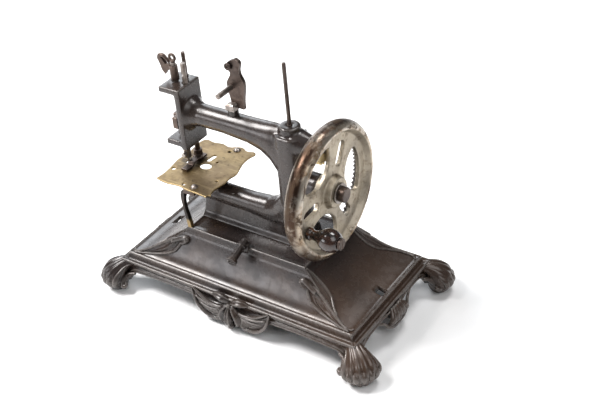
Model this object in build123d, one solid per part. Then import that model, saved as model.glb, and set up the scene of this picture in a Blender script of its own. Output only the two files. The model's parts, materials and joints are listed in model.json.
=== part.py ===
from build123d import *
from math import acos, cos, pi, radians, sin, tan
import os

# Toy hand-crank sewing machine, millimetres.
# +X runs along the arm from the needle head to the handwheel, -Y is the operator's side,
# +Z is up, and the origin is under the middle of the base, on the plane of its feet.

# ---- base casting ----
RIM_X, RIM_Y = 92.0, 47.7          # half sizes of the outer rim
LEDGE_Z = 22.5                     # flat ledge on top of the rim
LEDGE_W = 4.0                      # its width, out from the raised bead
BEAD_Z = 26.6                      # top of the raised bead
COVE_INSET = 5.5                   # where the hollow-curved sides start
PLATFORM_X, PLATFORM_Y = 45.0, 26.0
PLATFORM_Z = 49.7
COVE_POWER = 1.6                   # steepness of the curved sides towards the top
WALL = 2.8
APRON_Z = 14.0                     # lower edge of the apron between the feet
FOOT_X, FOOT_Y, FOOT_R = 96.5, 49.5, 11.0
FOOT_INNER_X, FOOT_INNER_Y = 84.0, 36.0
SWAG_W, SWAG_Z = 27.0, 8.5         # centre ornament below the front and back aprons
SCALLOP_W, SCALLOP_Z = 15.0, 9.0   # the smaller one below the end aprons
CLAMP_RIGHT_X, CLAMP_LEFT_X = 82.3, -78.8

# ---- arms and column ----
SHAFT_Z = 121.55                   # main shaft, and axis of the upper arm
LOOPER_Z = 65.0                    # looper shaft, and axis of the lower arm
STUD_Z = 93.2                      # handwheel stud
ARM_R = 7.4
ARM_LEFT = -45.0                   # left end of the lower arm and its web
COLUMN_X, COLUMN_W, COLUMN_D = 24.8, 18.4, 19.0
SPOOL_X, SPOOL_TOP, SPOOL_SEAT = 24.6, 132.5, 128.0
SPOOL_R, SPOOL_SEAT_R = 1.25, 1.6
SHAFT_R, LOOPER_SHAFT_R, STUD_R = 2.5, 2.0, 4.0
RUNNING = 0.05                     # radial clearance of a running fit
BUSH_R = 4.2

# ---- needle head ----
HEAD_LEFT, HEAD_RIGHT = -54.5, -50.3
HEAD_Y = 11.1
HEAD_LOW, HEAD_TOP = 98.0, 141.9
LUG_X = -66.2
LUG_LOW_Z, LUG_TOP_Z, LUG_T = 100.0, 138.0, 3.9
NEEDLE_X, NEEDLE_R, NEEDLE_TOP_R = -60.5, 2.5, 1.75
NEEDLE_BAR_TOP = 154.8
PRESSER_X, PRESSER_Y, PRESSER_R, PRESSER_TOP_R = -58.4, 8.0, 1.75, 1.3
CRANK_THROW = 4.8                  # half of the needle bar's stroke
CRANK_PIN_R, CRANK_PIN_TIP = 1.0, -56.5
CRANK_R = 7.6

# ---- cloth plate ----
PLATE_TOP, PLATE_T = 81.4, 1.2
PLATE_SCREWS = ((-38.5, -22.2), (-39.5, 25.3))

# ---- handwheel and gears ----
WHEEL_X, WHEEL_R = 50.1, 44.3      # middle plane of the rim, outer radius
RIM_HALF_W, RIM_HALF_R = 6.1, 4.3
WEB_BACK, WEB_FRONT = 49.0, 52.0
HUB_R, HUB_BACK, HUB_FRONT = 9.5, 44.4, 56.4
MODULE = 0.9
RING_TEETH, PINION_TEETH = 82, 19
RING_WALL_R = 39.2
GEAR_LEFT, GEAR_RIGHT = 44.2, 48.6
WINDOW_R, WINDOW_HALF, WINDOW_INNER = 31.5, 31.0, 14.5
WINDOW_TURN = 2.0                  # angle of the first window from +Y
KNOB_ANGLE, KNOB_RADIUS = -156.3, 31.3

# ---- looper drive inside the column ----
LOOPER_LEVER = 7.5
LOOPER_THROW = 2.8

FEET = ((1, 1), (1, -1), (-1, 1), (-1, -1))
FRAME_BOLTS = (-32.0, 8.0)         # x of the two bolts that hold the frame to the base
TENSION_X = -17.0                  # thread tension post, on top of the upper arm
LEAF_FRONT, LEAF_BACK = 0.6, 3.2   # its leaf, between two y values
LEAF_STUD_R, STUD_ON_LEAF_Z = 1.8, 147.5
EYE_X, EYE_Z = -16.8, 161.9        # thread eye near the leaf's top
FRONT_SCREW = Pos(-0.5, -26.0, 53.2) * Rot(108, 0, 0)   # its local Z points out and a little down
os.makedirs("parts", exist_ok=True)


def save(node, shape):
    export_step(shape, f"parts/{node}.step")


def group(*solids):
    return Compound(children=[s for part in solids for s in part.solids()])


def box(x, y, z):
    """A box from its three (low, high) pairs."""
    return Pos((x[0] + x[1]) / 2, (y[0] + y[1]) / 2, (z[0] + z[1]) / 2) * Box(
        x[1] - x[0], y[1] - y[0], z[1] - z[0]
    )


def rod_x(r, x0, x1, y=0.0, z=0.0):
    return Pos((x0 + x1) / 2, y, z) * Rot(0, 90, 0) * Cylinder(r, x1 - x0)


def rod_y(r, y0, y1, x=0.0, z=0.0):
    return Pos(x, (y0 + y1) / 2, z) * Rot(90, 0, 0) * Cylinder(r, y1 - y0)


def rod_z(r, z0, z1, x=0.0, y=0.0):
    return Pos(x, y, (z0 + z1) / 2) * Cylinder(r, z1 - z0)


def plate_xz(outline, y0, y1):
    """A plate whose outline lies in the XZ plane, between two y values."""
    return Pos(0, y1, 0) * extrude(Plane.XZ * outline, y1 - y0)


def plate_yz(outline, x0, x1):
    """A plate whose outline lies in the YZ plane, between two x values."""
    return Pos(x0, 0, 0) * extrude(Plane.YZ * outline, x1 - x0)


# ---------------------------------------------------------------- base casting
def cove_curve(outer, inner, shift=0.0):
    """Side of the base from rim to platform: points of the hollow curve, outside in."""
    z0 = BEAD_Z - 0.3
    steps = [i / 6 for i in range(7)]
    return [
        (outer - u * (outer - inner) - shift, z0 + (PLATFORM_Z - z0) * u**COVE_POWER - shift)
        for u in steps
    ]


def cove_section(outer, inner, shift, floor_z):
    """Closed section of the whole base between its two curved sides."""
    side = cove_curve(outer, inner, shift)
    mirror = [(-a, z) for a, z in reversed(side)]
    top = side[-1][1]
    edges = [
        Spline(*side),
        Line((side[-1][0], top), (-side[-1][0], top)),
        Spline(*mirror),
        Line(mirror[-1], (mirror[-1][0], floor_z)),
        Line((mirror[-1][0], floor_z), (side[0][0], floor_z)),
        Line((side[0][0], floor_z), side[0]),
    ]
    return make_face(edges)


def cove_block(shift, floor_z):
    long_side = plate_xz(cove_section(RIM_X - COVE_INSET, PLATFORM_X, shift, floor_z), -60, 60)
    short_side = plate_yz(cove_section(RIM_Y - COVE_INSET, PLATFORM_Y, shift, floor_z), -110, 110)
    return long_side & short_side


def apron_opening(half, dip_half, dip_z):
    """Open area below an apron: an arch between the feet with an ornament hanging into it."""
    rise = 6.0
    pts = [
        (-half, -1.0),
        (-half, APRON_Z - rise),
        (-half + rise, APRON_Z),
        (-dip_half, APRON_Z),
        (-dip_half * 0.45, dip_z),
        (dip_half * 0.45, dip_z),
        (dip_half, APRON_Z),
        (half - rise, APRON_Z),
        (half, APRON_Z - rise),
        (half, -1.0),
    ]
    return make_face(Polyline(*pts, close=True))


def foot_solid():
    profile = make_face(
        [
            Polyline((0, 0), (8.2, 0), (9.8, 2.5)),
            ThreePointArc((9.8, 2.5), (FOOT_R, 8.0), (9.4, 13.0)),
            Polyline((9.4, 13.0), (5.5, 18.5), (3.2, LEDGE_Z - 0.6), (0, LEDGE_Z - 0.6), (0, 0)),
        ]
    )
    return revolve(Plane.XZ * profile, Axis.Z)


def base_plate():
    body = box((-RIM_X, RIM_X), (-RIM_Y, RIM_Y), (0, LEDGE_Z))
    rise_x, rise_y = RIM_X - LEDGE_W, RIM_Y - LEDGE_W
    body += box((-rise_x, rise_x), (-rise_y, rise_y), (LEDGE_Z - 3, BEAD_Z))
    body += cove_block(0.0, LEDGE_Z - 1)
    in_x, in_y = RIM_X - WALL, RIM_Y - WALL
    body -= box((-in_x, in_x), (-in_y, in_y), (-1, LEDGE_Z - WALL))
    body -= cove_block(WALL, LEDGE_Z - WALL - 1)
    front = apron_opening(FOOT_INNER_X, SWAG_W, SWAG_Z)
    side = apron_opening(FOOT_INNER_Y, SCALLOP_W, SCALLOP_Z)
    body -= plate_xz(front, -60, 60)
    body -= plate_yz(side, -120, 120)
    foot = foot_solid()
    for sx, sy in FEET:
        body += Pos(sx * FOOT_X, sy * FOOT_Y, 0) * foot
    # cast boss for the slotted screw, on the front edge of the platform
    body += box((-3.6, 2.6), (-25.6, -22.0), (PLATFORM_Z - 4, 52.6))
    body += FRONT_SCREW * Pos(0, 0, -1.0) * Cylinder(4.3, 5)
    body -= FRONT_SCREW * Pos(0, 0, 6.75) * Cylinder(2.6, 16.5)
    # table-clamp holes in the two end slopes, and the two holes for the frame's bolts
    body -= box((CLAMP_RIGHT_X - 3.2, CLAMP_RIGHT_X + 3.2), (-3.1, 3.1), (10, 40))
    body -= box((CLAMP_LEFT_X - 2.7, CLAMP_LEFT_X + 2.7), (-4.5, 4.5), (10, 40))
    for x in FRAME_BOLTS:
        body -= rod_z(2.5, 40, 60, x)
    return body


def frame_bolt(x):
    """Slotted bolt from under the platform into the web of the frame."""
    under = PLATFORM_Z - WALL
    bolt = rod_z(2.5, under - 1, 57, x) + rod_z(4.6, under - 3.2, under, x)
    return bolt - box((x - 6, x + 6), (-0.6, 0.6), (under - 4, under - 2.2))


def front_screw():
    """Slotted screw standing out of the boss, its head away from the platform."""
    shank = FRONT_SCREW * Pos(0, 0, 6.75) * Cylinder(2.6, 16.5)
    collar = FRONT_SCREW * Pos(0, 0, 2.8) * Cylinder(3.3, 2.2)
    head = FRONT_SCREW * Pos(0, 0, 14.8) * Cylinder(3.7, 2.4)
    slot = FRONT_SCREW * Pos(0, 0, 15.8) * Box(9, 1.1, 1.4)
    return shank + collar + head - slot


# --------------------------------------------------------------- frame casting
def arm_loft(sections):
    """Smooth arm through ellipses: x, top z, bottom z, half depth in y."""
    faces = []
    for x, top, low, half in sections:
        face = Plane.YZ * Ellipse(half, (top - low) / 2)
        faces.append(Pos(x, 0, (top + low) / 2) * face)
    return loft(faces, ruled=True)


def upper_arm():
    return arm_loft(
        [
            (-50.6, 129.6, 113.5, 8.2),
            (-44.0, 128.95, 114.15, ARM_R),
            (-24.0, 128.95, 114.15, ARM_R),
            (-5.0, 129.2, 112.4, 7.8),
            (5.0, 129.6, 109.4, 8.4),
            (12.0, 130.0, 104.0, 9.0),
            (17.5, 130.0, 95.0, 9.3),
            (24.0, 129.6, 90.0, 9.4),
        ]
    )


def lower_arm():
    return arm_loft(
        [
            (ARM_LEFT, LOOPER_Z + 7.15, LOOPER_Z - 7.15, 7.15),
            (-10.0, LOOPER_Z + 7.2, LOOPER_Z - 7.2, 7.2),
            (4.0, LOOPER_Z + 8.4, LOOPER_Z - 8.0, 8.0),
            (11.0, LOOPER_Z + 12.0, LOOPER_Z - 8.6, 8.8),
            (16.5, LOOPER_Z + 20.0, LOOPER_Z - 9.0, 9.3),
            (24.0, LOOPER_Z + 26.0, LOOPER_Z - 9.0, 9.4),
        ]
    )


def machine_frame():
    column = Pos(COLUMN_X, 0, 55) * extrude(RectangleRounded(COLUMN_W, COLUMN_D, 7.0), 72)
    web_face = make_face(
        Polyline((-12, PLATFORM_Z), (12, PLATFORM_Z), (9, 53), (6.4, 62), (-6.4, 62), (-9, 53),
                 close=True)
    )
    web = plate_yz(web_face, ARM_LEFT, 36)
    spool_boss = rod_z(6.7, 116, SPOOL_TOP, SPOOL_X)
    shaft_boss = Pos(35, 0, SHAFT_Z) * Rot(0, 90, 0) * Cone(9.0, 5.6, 12)
    stud_boss = rod_x(8.3, 26, 43.6, 0, STUD_Z)
    head = box((HEAD_LEFT, HEAD_RIGHT), (-HEAD_Y, HEAD_Y), (HEAD_LOW, HEAD_TOP))
    head += box((LUG_X, HEAD_RIGHT), (-HEAD_Y, HEAD_Y), (LUG_TOP_Z, LUG_TOP_Z + LUG_T))
    head += box((LUG_X, HEAD_RIGHT), (-HEAD_Y, HEAD_Y), (LUG_LOW_Z, LUG_LOW_Z + LUG_T))
    body = upper_arm() + lower_arm() + column + web + spool_boss + shaft_boss + stud_boss + head

    # bores for the shafts, the bushes, the stud and the spool pin
    body -= rod_x(3.3, -60, 60, 0, SHAFT_Z)
    body -= rod_x(BUSH_R, -60, -44, 0, SHAFT_Z)
    body -= rod_x(BUSH_R, 30, 60, 0, SHAFT_Z)
    body -= rod_x(LOOPER_SHAFT_R + RUNNING, -60, 60, 0, LOOPER_Z)
    body -= rod_x(STUD_R, 29.8, 60, 0, STUD_Z)
    body -= rod_z(SPOOL_SEAT_R, SPOOL_SEAT, 140, SPOOL_X)
    # pocket for the needle crank, and the bores of the two bars
    body -= rod_x(CRANK_R + 0.6, -60, -53.6, 0, SHAFT_Z)
    body -= rod_z(NEEDLE_R + RUNNING, 95, 120, NEEDLE_X)
    body -= rod_z(NEEDLE_TOP_R + RUNNING, 120, 150, NEEDLE_X)
    body -= rod_z(PRESSER_R + RUNNING, 95, 120, PRESSER_X, PRESSER_Y)
    body -= rod_z(PRESSER_TOP_R + RUNNING, 120, 150, PRESSER_X, PRESSER_Y)
    body -= rod_z(1.6, 137, 150, -52.7)
    # the column's hollow, open at the back, for the looper drive
    body -= box((20.8, 29.8), (-6.4, 20), (58.0, 127.2))
    # holes for the frame's bolts, the tension post and the cloth-plate bracket
    for x in FRAME_BOLTS:
        body -= rod_z(2.5, 45, 57, x)
    body -= rod_z(1.8, 125.4, 132, TENSION_X)
    return body


def shaft_bush(x0, x1):
    return rod_x(BUSH_R, x0, x1, 0, SHAFT_Z) - rod_x(SHAFT_R + RUNNING, x0 - 1, x1 + 1, 0, SHAFT_Z)


def spool_pin():
    top = 174.0
    pin = rod_z(SPOOL_SEAT_R, SPOOL_SEAT, SPOOL_TOP + 0.3, SPOOL_X)
    pin += rod_z(SPOOL_R, SPOOL_SEAT, top, SPOOL_X)
    return fillet(pin.edges().group_by(Axis.Z)[-1], 0.7)


# ---------------------------------------------------------------- cloth plate
def plate_outline():
    """Cast plate outline with pointed corners and wavy sides, anticlockwise from the front left."""
    front = [(-67.6, -24.8), (-62.0, -26.0), (-56.0, -26.1), (-49.0, -25.3), (-42.2, -26.4),
             (-34.0, -26.9), (-25.5, -27.6)]
    nick = [(-25.5, -27.6), (-25.4, -25.4), (-23.6, -24.7)]
    right = [(-23.6, -24.7), (-25.2, -18.0), (-23.8, -9.1), (-24.2, -4.0), (-23.2, 0.7), (-25.1, 9.0),
             (-26.9, 20.5), (-25.3, 26.0)]
    back = [(-25.3, 26.0), (-28.1, 28.6), (-33.0, 27.4), (-36.5, 29.2), (-41.0, 29.2), (-47.0, 26.4),
            (-52.0, 27.6), (-61.0, 26.6), (-66.0, 27.3), (-68.0, 25.1)]
    left = [(-68.0, 25.1), (-68.3, 15.0), (-67.4, 5.5), (-68.7, 0.3), (-67.8, -8.0), (-66.8, -17.0),
            (-67.6, -24.8)]
    edges = [Spline(*front), Polyline(*nick), Spline(*right), Spline(*back), Spline(*left)]
    return make_face(edges)


def cloth_plate():
    low = PLATE_TOP - PLATE_T
    plate = Pos(0, 0, low) * extrude(plate_outline(), PLATE_T)
    cut = rod_z(1.6, low - 1, PLATE_TOP + 1, NEEDLE_X)
    cut += rod_z(1.35, low - 1, PLATE_TOP + 1, -64.2, -11.0)
    cut += rod_z(1.2, low - 1, PLATE_TOP + 1, -42.8, 21.5)
    cut += rod_z(1.0, low - 1, PLATE_TOP + 1, -46.7, -22.6)
    cut += rod_z(1.0, low - 1, PLATE_TOP + 1, -29.5, -10.6)
    cut += rod_z(0.8, low - 1, PLATE_TOP + 1, -42.5, 7.3)
    oval = extrude(Ellipse(4.1, 3.4), PLATE_T + 2)
    cut += Pos(-46.7, 0.7, low - 1) * oval
    slot = extrude(SlotOverall(8.0, 3.2), PLATE_T + 2)
    cut += Pos(-49.0, 10.0, low - 1) * Rot(0, 0, 85) * slot
    plate -= cut
    for x, y in PLATE_SCREWS:
        plate -= rod_z(1.4, low - 1, PLATE_TOP + 1, x, y)
    return plate


def cloth_plate_screw(x, y):
    """Dome-headed screw through the plate into the bracket."""
    head = Pos(x, y, PLATE_TOP - 1.3) * Sphere(2.9)
    head &= box((x - 4, x + 4), (y - 4, y + 4), (PLATE_TOP, PLATE_TOP + 3))
    return rod_z(1.4, PLATE_TOP - 4.6, PLATE_TOP + 0.5, x, y) + head


BRACKET_X = (-45.0, -33.5)
BRACKET_Z = (76.2, PLATE_TOP - PLATE_T)


def plate_bracket():
    """Cross bar under the cloth plate, on a saddle over the end of the lower arm."""
    bar = box(BRACKET_X, (-26.2, 27.8), (77.2, BRACKET_Z[1]))
    bar -= box((-36.5, -30), (-40, -14), (70, 90))
    bar -= box((-36.0, -30), (14, 40), (70, 90))
    saddle = box((-44.0, -34.0), (-5.5, 5.5), (64, 78))
    saddle -= lower_arm()
    saddle = max(saddle.solids(), key=lambda s: s.center().Z)
    bar += saddle
    for x, y in PLATE_SCREWS:
        bar -= rod_z(1.4, 70, 90, x, y)
    bar -= rod_z(0.9, 70, 90, -42.5, 7.3)
    oval = extrude(Ellipse(4.1, 3.4), 20)
    bar -= Pos(-46.7, 0.7, 79) * oval
    return bar


def plate_leg():
    """Bent strap from the front end of the bracket down to the platform's corner."""
    outline = make_face(
        [
            Spline((-45.0, 79.8), (-47.6, 77.0), (-48.2, 71.0), (-47.2, 60.0), (-46.0, PLATFORM_Z)),
            Line((-46.0, PLATFORM_Z), (-43.2, PLATFORM_Z)),
            Spline((-43.2, PLATFORM_Z), (-45.0, 60.0), (-46.0, 70.0), (-45.0, 74.0)),
            Line((-45.0, 74.0), (-45.0, 79.8)),
        ]
    )
    return plate_xz(outline, -26.0, -23.0)


# ----------------------------------------------------- spool and tension parts
def tension_post():
    post = rod_z(3.4, 127.6, 132.6, TENSION_X) - upper_arm()
    return post + rod_z(1.8, 125.4, 129.4, TENSION_X)


def tension_block():
    block = Pos(TENSION_X, -0.6, 134.8) * Box(6.4, 6.0, 4.4)
    block = chamfer(block.edges().group_by(Axis.Z)[-1], 1.0)
    return block - box((-25, -5), (LEAF_FRONT, LEAF_BACK), (133.4, 140))


def tension_leaf():
    """Flat vase-shaped leaf with a curled thread eye at its top."""
    right = [(-8.8, 133.5), (-8.4, 141.2), (-7.2, 148.5), (-7.4, 153.0), (-9.4, 157.0),
             (-9.6, 160.5), (-8.6, 164.3), (-12.2, 167.4)]
    left = [(-12.2, 167.4), (-16.1, 165.4), (-18.6, 163.0), (-18.4, 159.6), (-16.8, 157.8),
            (-17.6, 154.3), (-19.8, 150.5), (-20.0, 146.1), (-19.0, 140.9), (-18.9, 133.5)]
    face = make_face([Spline(*right), Spline(*left), Line((-18.9, 133.5), (-8.8, 133.5))])
    leaf = plate_xz(face, LEAF_FRONT, LEAF_BACK)
    leaf -= rod_y(LEAF_STUD_R, -5, 5, TENSION_X, STUD_ON_LEAF_Z)
    return leaf - rod_y(1.0, -5, 5, EYE_X, EYE_Z)


def tension_stud():
    stud = rod_y(LEAF_STUD_R, -13.0, LEAF_BACK + 0.6, TENSION_X, STUD_ON_LEAF_Z)
    return stud + rod_y(2.6, LEAF_BACK, LEAF_BACK + 1.3, TENSION_X, STUD_ON_LEAF_Z)


def thread_eye():
    ring = Pos(EYE_X, -0.5, EYE_Z) * Rot(90, 0, 0) * Torus(1.6, 0.85)
    return ring + rod_y(1.0, -0.8, LEAF_BACK + 0.4, EYE_X, EYE_Z) - rod_y(0.45, -5, 5, EYE_X, EYE_Z)


# ------------------------------------------------------------------ main shaft
def gear_outline(teeth, tip_r, root_r, thin, phase):
    """Closed outline of an involute gear. `phase` turns one tooth's middle to that angle in radians."""
    pitch_r = MODULE * teeth / 2
    base_r = pitch_r * cos(radians(20))
    inv20 = tan(radians(20)) - radians(20)
    half = pi / (2 * teeth) - thin / (2 * pitch_r)

    def half_angle(r):
        a = acos(min(1.0, base_r / r))
        return half + inv20 - (tan(a) - a)

    start_r = max(base_r, min(root_r, tip_r)) + 0.01
    end_r = max(tip_r, root_r)
    radii = [start_r + (end_r - start_r) * i / 3 for i in range(4)]
    pts = []
    for k in range(teeth):
        mid = phase + 2 * pi * k / teeth
        flank = [(r, half_angle(r)) for r in radii]
        low = min(tip_r, root_r)
        if start_r - 0.02 > low:
            flank.insert(0, (low, flank[0][1]))
        for r, a in flank:
            pts.append((r * cos(mid - a), r * sin(mid - a)))
        for r, a in reversed(flank):
            pts.append((r * cos(mid + a), r * sin(mid + a)))
    return make_face(Polyline(*pts, close=True))


def ring_gear():
    """Internal gear: a ring less an outline whose teeth are the ring's tooth spaces."""
    pitch_r = MODULE * RING_TEETH / 2
    space = gear_outline(RING_TEETH, pitch_r + 1.1, pitch_r - 0.7, -0.2, pi / 2)
    ring = Circle(RING_WALL_R) - space
    return Pos(0, 0, STUD_Z) * plate_yz(ring, GEAR_LEFT, GEAR_RIGHT)


def pinion():
    pitch_r = MODULE * PINION_TEETH / 2
    face = gear_outline(PINION_TEETH, pitch_r + 0.8, pitch_r - 1.0, 0.1, pi / 2)
    face -= Circle(SHAFT_R)
    gear = plate_yz(face, GEAR_LEFT + 0.1, GEAR_RIGHT - 0.3)
    collar = plate_yz(Circle(5.0) - Circle(SHAFT_R), 41.6, GEAR_LEFT + 0.1)
    return Pos(0, 0, SHAFT_Z) * (gear + collar) - rod_z(0.8, 100, 140, 42.9)


def pinion_pin():
    return rod_z(0.8, SHAFT_Z - 4.7, SHAFT_Z + 4.7, 42.9)


def main_shaft():
    shaft = rod_x(SHAFT_R, -55.8, 48.0, 0, SHAFT_Z)
    shaft = chamfer(shaft.edges().group_by(Axis.X)[-1], 0.3)
    return shaft - rod_z(0.8, 100, 140, 42.9)


def needle_crank():
    disc = rod_x(CRANK_R, -56.1, -53.9, 0, SHAFT_Z) - rod_x(SHAFT_R, -60, -50, 0, SHAFT_Z)
    return disc - rod_x(CRANK_PIN_R, -60, -50, 0, SHAFT_Z - CRANK_THROW)


def needle_crank_pin():
    return rod_x(CRANK_PIN_R, CRANK_PIN_TIP, -53.9, 0, SHAFT_Z - CRANK_THROW)


def looper_cam():
    """Crank disc on the main shaft, inside the column."""
    disc = rod_x(5.6, 22.0, 25.0, 0, SHAFT_Z) - rod_x(SHAFT_R, 10, 40, 0, SHAFT_Z)
    return disc - rod_x(0.9, 10, 40, 0, SHAFT_Z + LOOPER_THROW + 0.9)


def looper_cam_pin():
    return rod_x(0.9, 22.0, 26.0, 0, SHAFT_Z + LOOPER_THROW + 0.9)


# ------------------------------------------------------------------ needle bar
BAR_END = 85.0


def needle_bar():
    bar = rod_z(NEEDLE_R, BAR_END, 118.5, NEEDLE_X)
    bar = chamfer(bar.edges().group_by(Axis.Z)[0], 0.5)
    bar += rod_z(NEEDLE_TOP_R, 118.5, NEEDLE_BAR_TOP, NEEDLE_X)
    return bar - rod_z(0.8, 80, 93, NEEDLE_X) - rod_y(0.9, -5, 0, NEEDLE_X, 88.5)


def needle():
    blade = rod_z(0.8, BAR_END - 3.5, 93, NEEDLE_X) + rod_z(0.45, 64.0, BAR_END - 3, NEEDLE_X)
    tip = Pos(NEEDLE_X, 0, 62.8) * Cone(0.05, 0.45, 2.4)
    return blade + tip


def needle_screw():
    """Clamp screw across the lower end of the needle bar."""
    return rod_y(0.9, -3.4, -0.82, NEEDLE_X, 88.5) + rod_y(1.5, -4.4, -2.6, NEEDLE_X, 88.5)


def needle_yoke():
    """Cross slot on the needle bar that the crank pin drives."""
    mid = SHAFT_Z - CRANK_THROW
    near = CRANK_PIN_TIP - 0.4
    block = box((-63.6, near), (-8.8, 4.4), (mid - 5.0, mid + 3.0))
    block -= box((-59.6, -50), (-7.6, 20), (mid - 1.2, mid + 1.2))
    block -= box((-70, -60.6), (-20, -4.0), (mid - 9, mid + 9))
    return block - rod_z(NEEDLE_R, 100, 130, NEEDLE_X)


def needle_collar():
    return rod_z(3.6, 106.6, 110.6, NEEDLE_X) - rod_z(NEEDLE_R, 100, 120, NEEDLE_X)


def take_up():
    """Curled wire hook and wedge-shaped flag on top of the needle bar."""
    ring = Pos(NEEDLE_X, 0, NEEDLE_BAR_TOP + 3.2) * Rot(90, 0, 0) * Torus(2.1, 0.95)
    neck = rod_z(1.3, NEEDLE_BAR_TOP, NEEDLE_BAR_TOP + 1.2, NEEDLE_X)
    return ring + neck


def thread_flag():
    """Bent wedge on the left of the needle bar's top, which guides the thread."""
    top = NEEDLE_BAR_TOP
    outline = make_face(
        Polyline((-62.25, top - 1.0), (-66.0, top - 2.2), (-69.5, top + 2.2), (-72.3, top + 1.0),
                 (-70.6, top - 2.6), (-69.4, top - 7.0), (-67.2, top - 9.6), (-65.2, top - 6.4),
                 (-62.25, top - 5.0), close=True)
    )
    return plate_xz(outline, -1.2, 1.2)


# ----------------------------------------------------------------- presser bar
FOOT_UNDER = PLATE_TOP + 0.4


def presser_bar():
    bar = rod_z(PRESSER_R, FOOT_UNDER + 1.6, 126.0, PRESSER_X, PRESSER_Y)
    return bar + rod_z(PRESSER_TOP_R, 126.0, 158.5, PRESSER_X, PRESSER_Y)


def presser_collar():
    ring = rod_z(3.1, 127.9, 130.2, PRESSER_X, PRESSER_Y)
    return ring - rod_z(PRESSER_TOP_R, 100, 140, PRESSER_X, PRESSER_Y)


def presser_spring():
    """Round-wire spring between the top lug and the presser collar."""
    turns, low, high, wire_r = 5, 130.65, 137.55, 0.35
    path = Wire([Helix(pitch=(high - low) / turns, height=high - low, radius=2.1)])
    start = Plane(origin=path @ 0, z_dir=path % 0)
    return Pos(PRESSER_X, PRESSER_Y, low) * sweep(start * Circle(wire_r), path=path)


def presser_foot():
    """Stepped blade beside the needle, clamped under the presser bar."""
    hub = rod_z(2.9, FOOT_UNDER + 1.6, FOOT_UNDER + 5.6, PRESSER_X, PRESSER_Y)
    hub -= rod_z(PRESSER_R, 70, 120, PRESSER_X, PRESSER_Y)
    step = make_face(
        Polyline((-11.2, FOOT_UNDER), (-4.0, FOOT_UNDER), (-2.6, FOOT_UNDER + 1.6), (6.0, FOOT_UNDER + 1.6),
                 (6.0, FOOT_UNDER + 2.9), (-3.2, FOOT_UNDER + 2.9), (-4.6, FOOT_UNDER + 1.3),
                 (-10.2, FOOT_UNDER + 1.3), (-11.4, FOOT_UNDER + 2.0), close=True)
    )
    blade = plate_yz(step, -57.6, -53.0)
    base = box((-60.4, -53.0), (4.6, 10.6), (FOOT_UNDER + 0.3, FOOT_UNDER + 1.6))
    return blade + base + hub


def guide_post():
    """Notched thread guide pressed into the top of the head."""
    post = rod_z(1.6, 137, 156.0, -52.7)
    return post - box((-60, -52.2), (-3, 3), (147.2, 148.6))


# ------------------------------------------------------------------- handwheel
def window(angle):
    reach = (WINDOW_R * sin(radians(WINDOW_HALF))), (WINDOW_R * cos(radians(WINDOW_HALF)))
    side, along = reach
    centre = (along**2 + side**2 - WINDOW_INNER**2) / (2 * (along - WINDOW_INNER))
    face = Circle(WINDOW_R) & (Pos(centre, 0) * Circle(centre - WINDOW_INNER))
    face = fillet(face.vertices(), 2.0)
    return Rot(0, 0, angle) * face


def handwheel():
    rim_r = WHEEL_R - RIM_HALF_R
    seat = GEAR_RIGHT
    bore_r = STUD_R + RUNNING
    profile = make_face(
        [
            Polyline((HUB_BACK, bore_r), (HUB_BACK, HUB_R), (WEB_BACK, HUB_R), (WEB_BACK, 30.0),
                     (seat, 33.0), (seat, RING_WALL_R), (44.0, RING_WALL_R), (44.0, rim_r)),
            ThreePointArc((44.0, rim_r), (WHEEL_X - 0.2, WHEEL_R), (56.2, rim_r + 0.3)),
            Polyline((56.2, rim_r + 0.3), (56.0, rim_r - 1.0), (WEB_FRONT, 36.4), (WEB_FRONT, HUB_R + 1.2),
                     (HUB_FRONT, HUB_R), (HUB_FRONT, bore_r), (HUB_BACK, bore_r)),
        ]
    )
    wheel = revolve(Plane.XY * profile, Axis.X)
    cut = None
    for k in range(3):
        turn = WINDOW_TURN + 120 * k
        hole = window(turn)
        slot = Rot(0, 0, turn + 60) * Pos(23.5, 0) * SlotOverall(16.0, 6.4)
        cut = hole + slot if cut is None else cut + hole + slot
    wheel -= plate_yz(cut, 40, 60)
    knob_y, knob_z = knob_place()
    wheel = Pos(0, 0, STUD_Z) * wheel
    return wheel - rod_x(2.0, 40, 60, knob_y, knob_z)


def knob_place():
    angle = radians(KNOB_ANGLE)
    return KNOB_RADIUS * cos(angle), STUD_Z + KNOB_RADIUS * sin(angle)


def crank_knob():
    """Turned pear-shaped knob that spins on its screw."""
    profile = make_face(
        [
            Polyline((52.4, 2.05), (52.4, 4.0), (54.2, 4.0), (54.8, 3.3)),
            Spline((54.8, 3.3), (57.5, 3.25), (60.5, 4.6), (64.0, 6.7), (67.4, 7.2), (71.0, 6.3),
                   (73.6, 4.2)),
            Polyline((73.6, 4.2), (73.6, 2.05), (52.4, 2.05)),
        ]
    )
    y, z = knob_place()
    return Pos(0, y, z) * revolve(Plane.XY * profile, Axis.X)


def knob_screw():
    y, z = knob_place()
    screw = rod_x(2.0, 48.7, 74.5, y, z) + rod_x(3.6, 73.9, 75.6, y, z)
    return screw - box((75.0, 77), (y - 0.5, y + 0.5), (z - 5, z + 5))


def wheel_stud():
    return rod_x(STUD_R, 29.8, 56.8, 0, STUD_Z) - rod_x(2.0, 45, 60, 0, STUD_Z)


def hub_washer():
    return rod_x(6.6, 56.8, 57.8, 0, STUD_Z) - rod_x(2.0, 50, 60, 0, STUD_Z)


def hub_bolt():
    head = rod_x(4.9, 57.8, 62.0, 0, STUD_Z)
    return chamfer(head.edges().group_by(Axis.X)[-1], 0.5) + rod_x(2.0, 45, 58, 0, STUD_Z)


# ---------------------------------------------------------------- looper drive
def looper_shaft():
    return rod_x(LOOPER_SHAFT_R, -58.0, 29.4, 0, LOOPER_Z)


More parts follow.
